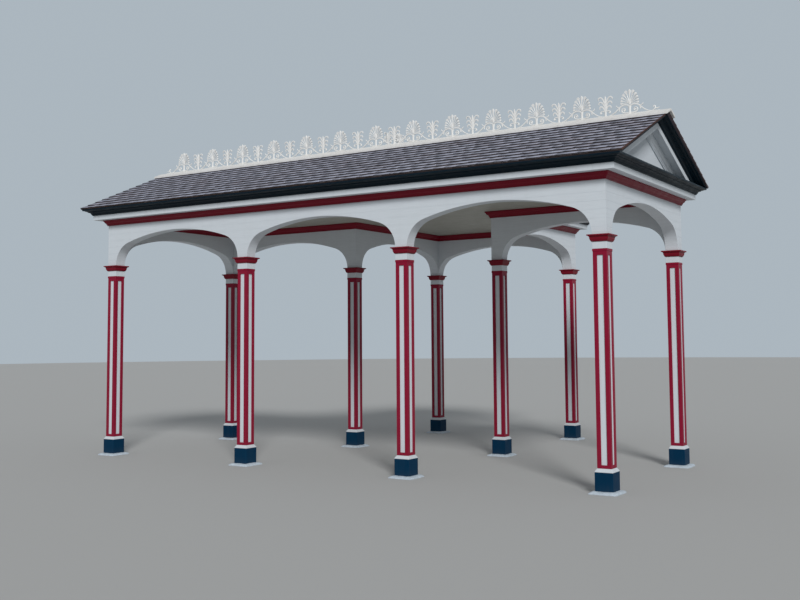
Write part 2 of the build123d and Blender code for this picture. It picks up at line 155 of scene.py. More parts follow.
g.links.new(maths(g, "SUBTRACT", relief, maths(g, "MULTIPLY", bare, look["bareDepth"])), pout["Height"])

# Outdoor grime: rain streaks down every side, and splashes near the ground
grimeNoise = {
    "runStretch": (17.0, 17.0, 1.3), "runFrom": 0.5, "runTo": 0.78,
    "spots": 6.0, "leastSpot": 0.25, "splashFall": 1.6,
}
grimeGroup, pin, pout = newGroup(
    "rainGrime",
    [
        ("Place", "Vector", (0, 0, 0)),
        ("Color", "Color", tint(0.8, 0.8, 0.8)),
        ("Dirt", "Color", tint(0.16, 0.14, 0.11)),
        ("Streaks", "Float", 0.2),
        ("Splash", "Float", 0.0),
        ("Splash Top", "Float", 0.3),
    ],
    [("Color", "Color"), ("Mask", "Float")],
)
g, look = grimeGroup, grimeNoise
runs = cloudy(g, stretch(g, pin["Place"], look["runStretch"]), 1.0, 5.0, 0.65)
runMask = maths(g, "MULTIPLY", remap(g, runs, look["runFrom"], look["runTo"]), pin["Streaks"])
spots = remap(g, cloudy(g, pin["Place"], look["spots"], 5.0, 0.7), 0.3, 0.75, look["leastSpot"], 1.0)
height = wire(g, "ShaderNodeSeparateXYZ", (pin["Place"],)).outputs[2]
lowness = maths(g, "SUBTRACT", 1.0, maths(g, "DIVIDE", height, pin["Splash Top"]), True)
fall = maths(g, "POWER", lowness, look["splashFall"])
splash = maths(g, "MULTIPLY", maths(g, "MULTIPLY", fall, spots), pin["Splash"])
dirtMask = maths(g, "ADD", runMask, splash, True)
g.links.new(blend(g, dirtMask, pin["Color"], pin["Dirt"]), pout["Color"])
g.links.new(dirtMask, pout["Mask"])

# Split wood grain that runs along V of a piece's own map
grainNoise = {
    "warpStretch": (5.0, 1.6, 1.0), "warp": 0.012,
    "fibreStretch": (190.0, 4.0, 1.0), "bandStretch": (48.0, 1.7, 1.0), "bandShare": 0.55, "bandHeight": 0.5,
    "crackFull": 0.34, "crackNone": 0.46, "crackShare": 0.62,
}
grainGroup, pin, pout = newGroup(
    "splitGrain",
    [
        ("Map", "Vector", (0, 0, 0)),
        ("Tone", "Float", 0.5),
        ("Light", "Color", tint(0.4, 0.36, 0.33)),
        ("Middle", "Color", tint(0.25, 0.2, 0.17)),
        ("Dark", "Color", tint(0.09, 0.07, 0.06)),
    ],
    [("Color", "Color"), ("Roughness", "Float"), ("Height", "Float")],
)
g, look = grainGroup, grainNoise
warp = maths(g, "MULTIPLY", cloudy(g, stretch(g, pin["Map"], look["warpStretch"]), 1.0, 2.0), look["warp"])
sideways = wire(g, "ShaderNodeCombineXYZ", (warp, 0.0, 0.0)).outputs[0]
bent = wire(g, "ShaderNodeVectorMath", (pin["Map"], sideways), {"operation": "ADD"}).outputs[0]
fibres = cloudy(g, stretch(g, bent, look["fibreStretch"]), 1.0, 4.0, 0.6)
bands = cloudy(g, stretch(g, bent, look["bandStretch"]), 1.0, 3.0)
toned = blend(g, pin["Tone"], pin["Middle"], pin["Light"])
banded = blend(g, remap(g, bands, 0.36, 0.64, 0.0, look["bandShare"]), toned, pin["Middle"])
cracks = remap(g, fibres, look["crackFull"], look["crackNone"], 1.0, 0.0)
g.links.new(blend(g, maths(g, "MULTIPLY", cracks, look["crackShare"]), banded, pin["Dark"]), pout["Color"])
g.links.new(remap(g, fibres, 0.3, 0.7, 0.92, 0.74), pout["Roughness"])
g.links.new(maths(g, "ADD", fibres, maths(g, "MULTIPLY", bands, look["bandHeight"])), pout["Height"])


# Finishes
def newMaterial(name):
    material = bpy.data.materials.new(name)
    material.use_nodes = True
    return material, material.node_tree, material.node_tree.nodes["Principled BSDF"]


def placeGroup(tree, group, **named):
    node = tree.nodes.new("ShaderNodeGroup")
    node.node_tree = group
    for key, value in named.items():
        socket = node.inputs[key.replace("_", " ")]
        if isinstance(value, bpy.types.NodeSocket):
            tree.links.new(value, socket)
        else:
            socket.default_value = value
    return node


def paintFinish(name, look):
    material, tree, shader = newMaterial(name)
    place = wire(tree, "ShaderNodeTexCoord").outputs["Object"]
    worn = wire(tree, "ShaderNodeAttribute", (), {"attribute_name": "edgeWear"}).outputs["Fac"]
    paint = placeGroup(
        tree, paintGroup, Place=place, Brush=stretch(tree, place, look["brush"]), Paint=look["paint"],
        Under=look["under"], Fade=look["fade"], Worn=worn, Chips=look["chips"], Sheen=look["sheen"],
    )
    grime = placeGroup(
        tree, grimeGroup, Place=place, Color=paint.outputs["Color"], Dirt=look["dirt"],
        Streaks=look["streaks"], Splash=look["splash"], Splash_Top=look["splashTop"],
    )
    tree.links.new(grime.outputs["Color"], shader.inputs["Base Color"])
    dulled = maths(tree, "MULTIPLY", grime.outputs["Mask"], look["dulling"])
    rough = maths(tree, "ADD", paint.outputs["Roughness"], dulled, True)
    tree.links.new(rough, shader.inputs["Roughness"])
    height = paint.outputs["Height"]
    bump = wire(tree, "ShaderNodeBump", (), None, Strength=look["bump"], Distance=look["relief"], Height=height)
    tree.links.new(bump.outputs[0], shader.inputs["Normal"])
    shader.inputs["Specular IOR Level"].default_value = look["gloss"]
    return material


# Brush is how finely the marks run along X, Y and Z: small numbers make long strokes
acrossBrush = (5.0, 5.0, 110.0)
uprightBrush = (150.0, 150.0, 3.0)
boardBrush = (4.0, 90.0, 90.0)
castBrush = (60.0, 60.0, 60.0)
# The white paint is tinted cool blue-grey as painted shade from blue sky light
plainPaint = {
    "paint": tint(0.67, 0.72, 0.765), "under": tint(0.48, 0.48, 0.46), "dirt": tint(0.2, 0.18, 0.15),
    "fade": 0.05, "chips": 0.25, "sheen": 0.45, "streaks": 0.035, "splash": 0.0, "splashTop": 0.3,
    "brush": acrossBrush, "bump": 0.22, "relief": 0.002, "dulling": 0.3, "gloss": 0.3,
}
paints = {
    "whiteWalls": {},
    "whitePosts": {"brush": uprightBrush, "splash": 0.25, "splashTop": 0.5},
    "whiteTrim": {"streaks": 0.12, "chips": 0.35},
    "ridgeWhite": {
        "paint": tint(0.82, 0.81, 0.79), "under": tint(0.42, 0.38, 0.32),
        "fade": 0.16, "streaks": 0.22, "chips": 0.55, "sheen": 0.55,
    },
    "castWhite": {
        "paint": tint(0.86, 0.86, 0.84), "under": tint(0.3, 0.16, 0.09),
        "streaks": 0.1, "chips": 0.18, "sheen": 0.38, "brush": castBrush, "bump": 0.3,
    },
    "crimsonPosts": {
        "paint": tint(0.26, 0.005, 0.029), "under": tint(0.34, 0.03, 0.07), "dirt": tint(0.08, 0.03, 0.03),
        "fade": 0.16, "sheen": 0.36, "streaks": 0.1, "splash": 0.3, "splashTop": 0.6,
        "brush": uprightBrush, "gloss": 0.16,
    },
    "crimsonTrim": {
        "paint": tint(0.2, 0.0035, 0.017), "under": tint(0.28, 0.03, 0.045), "dirt": tint(0.06, 0.025, 0.025),
        "fade": 0.14, "sheen": 0.38, "streaks": 0.12, "gloss": 0.16,
    },
    "navyBase": {
        "paint": tint(0.0005, 0.027, 0.068), "under": tint(0.008, 0.06, 0.11), "dirt": tint(0.07, 0.08, 0.09),
        "fade": 0.15, "streaks": 0.1, "splash": 0.3, "splashTop": 0.12, "brush": uprightBrush, "gloss": 0.07,
    },
    "darkCrown": {
        "paint": tint(0.001, 0.009, 0.018), "under": tint(0.01, 0.03, 0.035), "dirt": tint(0.05, 0.05, 0.045),
        "fade": 0.2, "sheen": 0.4, "streaks": 0.15, "gloss": 0.12,
    },
    # The ceiling's dull grey-olive is darkened as painted shade under the roof
    "ceilingPaint": {
        "paint": tint(0.42, 0.42, 0.37), "under": tint(0.3, 0.29, 0.24),
        "fade": 0.15, "streaks": 0.05, "brush": boardBrush,
    },
}
finishes = {name: paintFinish(name, {**plainPaint, **paint}) for name, paint in paints.items()}


def shingleFinish(name, look):
    material, tree, shader = newMaterial(name)
    place = wire(tree, "ShaderNodeTexCoord").outputs
    tone = wire(tree, "ShaderNodeAttribute", (), {"attribute_name": "tone"}).outputs["Fac"]
    grain = placeGroup(
        tree, grainGroup, Map=place["UV"], Tone=tone,
        Light=look["light"], Middle=look["middle"], Dark=look["dark"],
    )
    # A few shingles are rusty: the digits of the tone pick them
    pick = maths(tree, "FRACT", maths(tree, "MULTIPLY", tone, 7.31))
    warm = remap(tree, pick, look["warmFrom"], 1.0, 0.0, look["warm"])
    warmed = blend(tree, warm, grain.outputs["Color"], look["rust"])
    clouds = cloudy(tree, place["Object"], look["stainScale"], 5.0, 0.65)
    stained = blend(tree, remap(tree, clouds, 0.42, 0.68, 0.0, look["stain"]), warmed, look["silver"])
    # Rain has washed the lower face of each shingle pale along its grain, and the blue of that pale is a
    # painted sky reflection.
    # Just under the next butt the face is darkened as a painted shadow of that butt
    buttward = wire(tree, "ShaderNodeAttribute", (), {"attribute_name": "buttward"}).outputs["Fac"]
    ridges = remap(tree, grain.outputs["Height"], 0.5, 1.0, -look["ragged"], look["ragged"])
    ragged = maths(tree, "ADD", buttward, ridges)
    patchy = remap(tree, cloudy(tree, place["Object"], look["patchScale"], 3.0), 0.3, 0.7, 0.6, 1.0)
    grained = maths(tree, "MULTIPLY", patchy, remap(tree, grain.outputs["Height"], 0.55, 0.85, 0.55, 1.0))
    share = remap(tree, ragged, look["paleFrom"], look["paleTo"], 0.0, look["washAndSkyReflection"])
    pale = blend(tree, maths(tree, "MULTIPLY", share, grained), stained, look["pale"])
    buttShadow = remap(tree, ragged, look["buttShadowFrom"], look["buttShadowTo"], look["buttShadowDepth"], 0.0)
    grey = blend(tree, buttShadow, pale, look["dark"])
    ends = wire(tree, "ShaderNodeAttribute", (), {"attribute_name": "cutEnd"}).outputs["Fac"]
    sides = blend(tree, remap(tree, ends, 0.1, 0.4), grey, look["side"])
    butts = blend(tree, remap(tree, ends, 0.6, 0.9), sides, look["end"])
    tree.links.new(butts, shader.inputs["Base Color"])
    tree.links.new(grain.outputs["Roughness"], shader.inputs["Roughness"])
    shader.inputs["Specular IOR Level"].default_value = look["gloss"]
    height = grain.outputs["Height"]
    bump = wire(tree, "ShaderNodeBump", (), None, Strength=look["bump"], Distance=look["relief"], Height=height)
    tree.links.new(bump.outputs[0], shader.inputs["Normal"])
    return material


finishes["shingles"] = shingleFinish("shingles", {
    "light": tint(0.13, 0.115, 0.135), "middle": tint(0.06, 0.048, 0.056), "dark": tint(0.02, 0.014, 0.017),
    "rust": tint(0.16, 0.085, 0.06), "warmFrom": 0.62, "warm": 0.3,
    "silver": tint(0.12, 0.125, 0.16), "stainScale": 1.6, "stain": 0.5,
    # Pale is weathered silver-grey, and its blue tint is a painted sky reflection
    "pale": tint(0.45, 0.48, 0.59), "patchScale": 3.0, "washAndSkyReflection": 0.88, "paleFrom": 0.64, "paleTo": 0.82,
    # These values darken each face just under the butt above it, as a painted shadow
    "buttShadowDepth": 0.72, "buttShadowFrom": 0.58, "buttShadowTo": 0.72, "ragged": 0.07,
    "side": tint(0.08, 0.032, 0.022), "end": tint(0.045, 0.028, 0.022),
    "bump": 0.6, "relief": 0.003, "gloss": 0.3,
})


def mortarFinish(name, look):
    material, tree, shader = newMaterial(name)
    place = wire(tree, "ShaderNodeTexCoord").outputs["Object"]
    lumps = cloudy(tree, place, look["lumpScale"], 6.0, 0.7)
    sand = cloudy(tree, place, look["sandScale"], 2.0)
    body = blend(tree, remap(tree, lumps, 0.35, 0.7), look["pale"], look["dark"])
    gritty = blend(tree, remap(tree, sand, 0.35, 0.7, 0.0, 0.4), body, look["grit"])
    grime = placeGroup(
        tree, grimeGroup, Place=place, Color=gritty, Dirt=look["grit"],
        Streaks=look["streaks"], Splash=look["splash"], Splash_Top=look["splashTop"],
    )
    tree.links.new(grime.outputs["Color"], shader.inputs["Base Color"])
    tree.links.new(remap(tree, sand, 0.3, 0.7, 0.8, 0.95), shader.inputs["Roughness"])
    height = maths(tree, "ADD", lumps, maths(tree, "MULTIPLY", sand, look["sandHeight"]))
    bump = wire(tree, "ShaderNodeBump", (), None, Strength=look["bump"], Distance=look["relief"], Height=height)
    tree.links.new(bump.outputs[0], shader.inputs["Normal"])
    return material


# The mortar's blue tint in both tones is painted sky shade; its lumps and grit are its own
finishes["mortar"] = mortarFinish("mortar", {
    "pale": tint(0.6, 0.69, 0.78), "dark": tint(0.42, 0.49, 0.55), "grit": tint(0.33, 0.34, 0.34),
    "streaks": 0.1, "splash": 0.15, "splashTop": 0.012,
    "lumpScale": 22.0, "sandScale": 420.0, "sandHeight": 0.35, "bump": 0.7, "relief": 0.004,
})


def steelFinish(name, look):
    material, tree, shader = newMaterial(name)
    place = wire(tree, "ShaderNodeTexCoord").outputs["Object"]
    spots = cloudy(tree, place, look["spotScale"], 4.0)
    rusted = blend(tree, remap(tree, spots, 0.4, 0.62), look["steel"], look["rust"])
    tree.links.new(rusted, shader.inputs["Base Color"])
    tree.links.new(remap(tree, spots, 0.4, 0.62, 0.4, 0.85), shader.inputs["Roughness"])
    shader.inputs["Metallic"].default_value = look["metal"]
    return material


finishes["screwSteel"] = steelFinish("screwSteel", {
    "steel": tint(0.08, 0.08, 0.085), "rust": tint(0.12, 0.05, 0.02), "spotScale": 180.0, "metal": 0.6,
})
print("finishes made:", len(finishes))


# Helpers for meshes
def takeCad(bm, *names):
    for name in names:
        bm.from_mesh(cadNodes[name].data)
    bmesh.ops.remove_doubles(bm, verts=bm.verts, dist=1e-5)


def flatten(bm):
    bmesh.ops.dissolve_limit(bm, angle_limit=0.004, verts=bm.verts, edges=bm.edges)


def roundEdges(bm, low, high, width, segments):
    # Bevels the edges whose faces turn between two angles, in degrees, and marks the new faces as worn
    wear = bm.faces.layers.float.get("edgeWear") or bm.faces.layers.float.new("edgeWear")
    chosen = [e for e in bm.edges if e.is_manifold and low < math.degrees(e.calc_face_angle(0.0)) <= high]
    made = bmesh.ops.bevel(
        bm, geom=chosen, offset=width, segments=segments, affect="EDGES", profile=0.5, material=-1,
        clamp_overlap=True,
    )
    for face in made["faces"]:
        face[wear] = 1.0


def cutAt(bm, axis, value):
    normal = Vector((axis == 0, axis == 1, axis == 2))
    bmesh.ops.bisect_plane(
        bm, geom=bm.verts[:] + bm.edges[:] + bm.faces[:], plane_co=normal * value, plane_no=normal, dist=1e-6,
    )


def addPiece(bm, name, finish, replaces=(), smooth=30.0):
    mesh = bpy.data.meshes.new(name)
    bmesh.ops.dissolve_degenerate(bm, dist=2e-6, edges=bm.edges)
    bm.to_mesh(mesh)
    bm.free()
    mesh.materials.append(finishes[finish])
    mesh.shade_smooth()
    mesh.set_sharp_from_angle(angle=math.radians(smooth))
    for face in mesh.polygons:
        if max(abs(part) for part in face.normal) > 0.99999:
            face.use_smooth = False  # level and upright faces keep a flat shade beside their rounded edges
    piece = bpy.data.objects.new(name, mesh)
    bpy.context.scene.collection.objects.link(piece)
    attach(piece, "root")
    if replaces:
        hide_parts(*replaces)
    return piece


# Footing pads: trowelled mortar, each a little different
padSizes = {
    "foot": 0.146, "head": 0.1, "height": 0.029, "shoulder": 2.2, "slump": 0.55, "corner": 0.025,
    "wander": 0.008, "wanderScale": 9, "lumps": 0.004, "lumpScale": 26,
}


def buildPads():
    # Cubes in a row, ten units apart, each shaped and moved to its post
    bm = bmesh.new()
    size = padSizes
    for index in range(len(posts)):
        bmesh.ops.create_cube(bm, size=1.0, matrix=Matrix.Translation((index * 10, 0, 0)))
    bmesh.ops.subdivide_edges(bm, edges=bm.edges, cuts=9, use_grid_fill=True)
    for v in bm.verts:
        index = round(v.co.x / 10)
        x, y = posts[index]
        local = v.co - Vector((index * 10, 0, 0))
        up = local.z + 0.5
        corner = 1 - size["corner"] * (abs(local.x * local.y) * 4) ** 1.5
        bulge = (1 - min(up, 1) ** size["shoulder"]) ** size["slump"]
        reach = size["head"] + (size["foot"] - size["head"]) * bulge
        flat = Vector((local.x * 2, local.y * 2, 0)) * reach * corner
        seat = Vector((flat.x, flat.y, index * 3.7))  # its own place in the noise
        sway = flat.normalized() * noise.noise(seat * size["wanderScale"]) * size["wander"]
        flat += sway * max(abs(local.x), abs(local.y)) * 2
        lump = (noise.noise(seat * size["lumpScale"]) - 0.5) * size["lumps"] * up
        v.co = Vector((x + flat.x, y + flat.y, max(0.0, up * size["height"] + lump)))
    bmesh.ops.recalc_face_normals(bm, faces=bm.faces)
    return addPiece(bm, "mortarPads", "mortar", ["footing_pads"], smooth=60)


buildPads()
print("pads built")

# Posts: copies of the CAD timbers with their edges rounded, node by node
postParts = {
    "plinths": {"name": "plinthBlocks", "finish": "navyBase", "slot": "navy_paint", "round": 0.004},
    "weatherings": {"name": "weatheringCaps", "finish": "whitePosts", "slot": "white_paint", "round": 0.0025},
    "shafts": {"name": "postShafts", "finish": "crimsonPosts", "slot": "crimson_paint", "round": 0.0022},
    "necks": {"name": "postNecks", "finish": "whitePosts", "slot": "white_paint", "round": 0.002},
    "caps": {"name": "postCaps", "finish": "crimsonTrim", "slot": "crimson_paint", "round": 0.0018},
}
capSoft = 0.0045  # the caps' shallow steps are rounded more
postTurns = {"least": 8, "sharp": 42, "most": 179}  # degrees
for node, part in postParts.items():
    bm = bmesh.new()
    takeCad(bm, node)
    flatten(bm)
    if node == "caps":
        roundEdges(bm, postTurns["least"], postTurns["sharp"], capSoft, 2)
    roundEdges(bm, postTurns["sharp"], postTurns["most"], part["round"], 2)
    addPiece(bm, part["name"], part["finish"], [node], smooth=20)
cadNodes["shaft_panels"].data.materials.clear()
cadNodes["shaft_panels"].data.materials.append(finishes["whitePosts"])
print("posts built")

# Arched walls: all ten as one piece without the mitre faces inside it, and a fine groove between boards
wallSizes = {
    "jointFirst": 2.585, "jointTop": 3.04, "jointStep": 0.0865, "jointHalf": 0.0007, "jointDepth": 0.0012,
    "round": 0.003,
}
wallNodes = [name for name in cadNodes if name.startswith("arch_")]


def buildWalls():
    bm = bmesh.new()
    takeCad(bm, *wallNodes)
    bay, front = plan["bay"], plan["frontY"]
    half = wallSizes["jointHalf"]
    slant = math.sqrt(0.5)  # of a mitre's normal
    inside = []
    for face in bm.faces:
        n, c = face.normal, face.calc_center_median()
        mitre = abs(abs(n.x) - slant) < 0.01 and abs(abs(n.y) - slant) < 0.01
        inPost = abs(abs(c.x) - bay / 2) < 0.001 and abs(c.y - front) < plan["pierHalf"] + 0.005
        if mitre or (inPost and abs(n.x) > 0.999):
            inside.append(face)
    bmesh.ops.delete(bm, geom=inside, context="FACES_ONLY")
    flatten(bm)
    roundEdges(bm, 30, 179, wallSizes["round"], 2)
    level = wallSizes["jointFirst"]
    grooves = []
    while level < wallSizes["jointTop"]:
        for z in (level - half, level + half):
            cutAt(bm, 2, z)
        grooves += [
            f for f in bm.faces
            if abs(f.normal.z) < 0.001 and max(abs(f.normal.x), abs(f.normal.y)) > 0.9999
            and all(abs(v.co.z - level) < half + 1e-5 for v in f.verts)
        ]
        level += wallSizes["jointStep"]
    bmesh.ops.inset_region(
        bm, faces=[f for f in grooves if f.is_valid], thickness=0.0, depth=-wallSizes["jointDepth"],
        use_boundary=True, use_even_offset=True,
    )
    return addPiece(bm, "archedWalls", "whiteWalls", wallNodes, smooth=18)


buildWalls()
print("walls built")

# Cornice and gable mouldings: profiles softened, edges rounded
mouldings = {
    "bed_mould": {"name": "bedMould", "finish": "crimsonTrim", "slot": "crimson_paint", "soft": 0.005},
    "cornice_fascia": {"name": "corniceFascia", "finish": "whiteTrim", "slot": "white_paint", "soft": 0},
    "cornice_crown": {"name": "corniceCrown", "finish": "darkCrown", "slot": "dark_paint", "soft": 0.005},
    "ceiling_mould": {"name": "ceilingMould", "finish": "crimsonTrim", "slot": "crimson_paint", "soft": 0.005},
    "raking_crowns": {"name": "rakingCrowns", "finish": "darkCrown", "slot": "dark_paint", "soft": 0.005},
    "raking_fascias": {"name": "rakingFascias", "finish": "whiteTrim", "slot": "white_paint", "soft": 0},
    "raking_moulds": {"name": "rakingMoulds", "finish": "whiteTrim", "slot": "white_paint", "soft": 0.005},
    "tympanums": {"name": "tympanumBoards", "finish": "whiteWalls", "slot": "white_paint", "soft": 0},
}
mouldTurns = {"least": 8, "sharp": 55, "most": 179, "round": 0.0018}  # degrees, and the radius of sharp edges
for node, part in mouldings.items():
    bm = bmesh.new()
    takeCad(bm, node)
    flatten(bm)
    if part["soft"]:
        roundEdges(bm, mouldTurns["least"], mouldTurns["sharp"], part["soft"], 2)
    roundEdges(bm, mouldTurns["sharp"], mouldTurns["most"], mouldTurns["round"], 2)
    addPiece(bm, part["name"], part["finish"], [node], smooth=20)
print("mouldings built")

# Ceiling: boards along X with V joints on the underside
ceilingSizes = {"board": 0.0888, "vHalf": 0.0035, "vDepth": 0.004, "lastBoard": 0.02}


def buildCeiling():
    bm = bmesh.new()
    takeCad(bm, "ceiling")
    flatten(bm)
    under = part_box("ceiling")[0].z
    y = plan["frontY"] + plan["pierHalf"] + ceilingSizes["board"]
    while y < plan["wingY"] - plan["pierHalf"] - ceilingSizes["lastBoard"]:
        for line in (y - ceilingSizes["vHalf"], y, y + ceilingSizes["vHalf"]):
            cutAt(bm, 1, line)
        for v in bm.verts:
            if abs(v.co.y - y) < 1e-5 and abs(v.co.z - under) < 1e-5:
                v.co.z += ceilingSizes["vDepth"]
        y += ceilingSizes["board"]
    return addPiece(bm, "ceilingBoards", "ceilingPaint", ["ceiling"], smooth=20)


buildCeiling()
print("ceiling built")

# Roof: sheathing and split shingles, laid one by one on each slope
roofSizes = {
    "pitch": math.atan(5.2 / 12),
    "ridgeZ": 3.901,  # underside of the sheathing at the ridge
    "halfLength": 3.794,  # along the ridge, from the crossing to the verge
    "length": 1.605,  # down the slope to the lowest butts
    "sheathing": 0.004,
    "deckBack": 0.0025,  # how far the sheathing stays behind the lowest butts, to meet the crown moulding
    "deckInset": 0.006,  # and behind the verges
    "exposure": 0.1315,
    "shingle": 0.3,
    "head": 0.002,  # thickness at the upper end
    "headLift": 0.0005,  # of the upper end over the sheathing
    "top": 0.028,  # upper edge of the butts over the slope
    "firstHead": 0.004,  # nearest to the ridge that an upper end may lie
    "lastButt": 0.09,  # no course higher than this below the ridge
    "starter": 0.0138, "starterHead": 0.001, "starterBack": 0.002,  # the row under the lowest course
    "narrow": 0.1, "wide": 0.26, "stagger": 0.032, "gap": 0.0018,
    "firstGap": 0.004, "lastGap": 0.003, "remnant": 0.03,  # at the verges
    "wave": 0.0045, "drop": 0.0015, "thinner": 0.0012, "lean": 0.0018, "twist": (-0.0012, 0.0008),
    "crackShare": 0.08, "crackHalf": 0.0007, "crackLeast": 0.09,
    "tones": (0.36, 0.64),
    "arris": 0.0016,
    "valleyGap": 0.0012,
}


def slopeMatrix(turn):
    # Columns: along the ridge, down the slope, out of the slope. Turn 0 falls towards -Y
    c, s = math.cos(roofSizes["pitch"]), math.sin(roofSizes["pitch"])
    local = Matrix(((1, 0, 0, 0), (0, -c, -s, 0), (0, -s, c, 0), (0, 0, 0, 1)))
    place = Matrix.Translation((0, plan["ridgeY"], roofSizes["ridgeZ"]))
    return place @ Matrix.Rotation(turn, 4, "Z") @ local


def addShingle(bm, layers, rng, left, right, butt, low, thick, head):
    # One tapered shingle: left and right along the ridge, butt down the slope, low is its underside there
    size = roofSizes
    top = max(butt - size["shingle"], size["firstHead"])
    share = (butt - top) / size["shingle"]
    headLow = low + (size["sheathing"] + size["headLift"] - low) * share
    verts = bmesh.ops.create_cube(bm, size=1.0)["verts"]
    twist = rng.uniform(*size["twist"])
    lean = rng.uniform(-size["lean"], size["lean"])
    for v in verts:
        atButt, atRight, atTop = v.co.y > 0, v.co.x > 0, v.co.z > 0
        u = right if atRight else left
        if atButt:
            w = low + (thick if atTop else 0) + (twist if atRight and atTop else 0)
            v.co = Vector((u, butt + (lean if atRight else 0), w))
            # 1 at the butt and 0 at the upper end: this sets the pale lower face and the painted shadow under
            #                                       the next butt
            v[layers["buttward"]] = 1.0
        else:
            v.co = Vector((u, top, headLow + (head if atTop else 0)))
    tone, seed = rng.uniform(*size["tones"]), Vector((rng.uniform(0, 40), rng.uniform(0, 40)))
    for face in {f for v in verts for f in v.link_faces}:
        face[layers["tone"]] = tone
        if all(v.co.y > butt - 0.01 for v in face.verts):
            face[layers["end"]] = 1.0
        elif len({round(v.co.x, 5) for v in face.verts}) == 1:
            face[layers["end"]] = 0.5
        for loop in face.loops:
            co = loop.vert.co
            loop[layers["uv"]].uv = Vector((co.x - left, co.y + co.z)) + seed
    # The butt's edges without the lower one, to be rounded
    return [e for v in verts for e in v.link_edges if all(o.co.y > butt - 0.01 for o in e.verts)
            and all(o.co.z > low + 0.003 for o in e.verts)]


def layCourse(bm, layers, rng, span, joints, butt, low, thick, head):
    # A row of random widths whose joints miss those of the row below
    size = roofSizes
    start, end = span
    u = start + rng.uniform(0, size["firstGap"])
    edges, fresh = [], []
    while u < end - size["remnant"]:
        width = rng.uniform(size["narrow"], size["wide"])
        for _ in range(9):
            if all(abs(u + width - joint) > size["stagger"] for joint in joints):
                break
            width = rng.uniform(size["narrow"], size["wide"])
        right = min(u + width, end - rng.uniform(0, size["lastGap"]))
        if end - right < size["narrow"] * 0.7:
            right = end - rng.uniform(0, size["lastGap"])
        wave = 0.5 + 0.5 * noise.noise(Vector((u * 1.1, butt * 5.3, start)))
        drop = butt - wave * size["wave"] - rng.uniform(0, size["drop"])
        lift = thick - rng.uniform(0, size["thinner"])
        if rng.random() < size["crackShare"] and right - u > size["crackLeast"]:
            crack = u + (right - u) * rng.uniform(0.3, 0.7)
            edges += addShingle(bm, layers, rng, u, crack - size["crackHalf"], drop, low, lift, head)
            edges += addShingle(bm, layers, rng, crack + size["crackHalf"], right, drop, low, lift, head)
        else:
            edges += addShingle(bm, layers, rng, u, right, drop, low, lift, head)
        fresh.append(right + size["gap"] / 2)
        u = right + size["gap"]
    return edges, fresh


def buildSlope(name, node, turn, span, valleys, seed):
    size = roofSizes
    rng = random.Random(seed)
    bm = bmesh.new()
    layers = {
        "tone": bm.faces.layers.float.new("tone"), "end": bm.faces.layers.float.new("cutEnd"),
        "buttward": bm.verts.layers.float.new("buttward"), "uv": bm.loops.layers.uv.new("map"),
    }
    board = bmesh.ops.create_cube(bm, size=1.0)["verts"]
    deckEnd = size["length"] - size["deckBack"]
    for v in board:
        u = span[1] - size["deckInset"] if v.co.x > 0 else span[0] + size["deckInset"]
        v.co = Vector((u, deckEnd if v.co.y > 0 else 0.0, size["sheathing"] if v.co.z > 0 else 0.0))
    starterButt = size["length"] - size["starterBack"]
    edges, joints = layCourse(
        bm, layers, rng, span, [], starterButt, size["sheathing"], size["starter"], size["starterHead"],
    )
    step = size["exposure"]
    slide = (size["top"] - size["sheathing"] - size["head"]) / size["shingle"]
    low = size["top"] - slide * step
    butt = size["length"]
    while butt > size["lastButt"]:
        more, joints = layCourse(bm, layers, rng, span, joints, butt, low, size["top"] - low, size["head"])
        edges += more
        butt -= step
    bmesh.ops.bevel(
        bm, geom=list(set(edges)), offset=size["arris"], segments=1, affect="EDGES", profile=0.5, material=-1,
        clamp_overlap=True,
    )
    bmesh.ops.transform(bm, matrix=slopeMatrix(turn), verts=bm.verts)
    for normal in valleys:
        away = Vector(normal).normalized()
        bmesh.ops.bisect_plane(
            bm, geom=bm.verts[:] + bm.edges[:] + bm.faces[:], dist=1e-6, clear_outer=True,
            plane_co=Vector((0, plan["ridgeY"], 0)) - away * size["valleyGap"], plane_no=away,
        )
        bmesh.ops.holes_fill(bm, edges=[e for e in bm.edges if e.is_boundary], sides=0)
    bmesh.ops.recalc_face_normals(bm, faces=bm.faces)
    return addPiece(bm, name, "shingles", [node], smooth=20)


verge = roofSizes["halfLength"]
buildSlope("frontShingles", "roof_front", 0.0, (-verge, verge), [], 11)
buildSlope("backLeftShingles", "roof_back_left", math.pi, (0.0, verge), [(1, 1, 0)], 12)
buildSlope("backRightShingles", "roof_back_right", math.pi, (-verge, 0.0), [(-1, 1, 0)], 13)
buildSlope("wingLeftShingles", "roof_wing_left", -math.pi / 2, (-verge, 0.0), [(-1, -1, 0)], 14)
buildSlope("wingRightShingles", "roof_wing_right", math.pi / 2, (0.0, verge), [(1, -1, 0)], 15)
print("roof laid")

# Ridge boards with butt joints
ridgeSizes = {"joints": (-2.53, 2.53), "gap": 0.0012, "dip": 0.002, "round": 0.003, "least": 15, "most": 179}


def buildRidge():
    bm = bmesh.new()
    takeCad(bm, "ridge_boards")
    flatten(bm)
    roundEdges(bm, ridgeSizes["least"], ridgeSizes["most"], ridgeSizes["round"], 2)
    for joint in ridgeSizes["joints"]:
        for line in (joint - ridgeSizes["gap"], joint, joint + ridgeSizes["gap"]):
            cutAt(bm, 0, line)
        for v in bm.verts:
            if abs(v.co.x - joint) < 1e-5:
                v.co.z -= ridgeSizes["dip"]
    return addPiece(bm, "ridgeBoards", "ridgeWhite", ["ridge_boards"], smooth=5)


buildRidge()
print("ridge boards built")

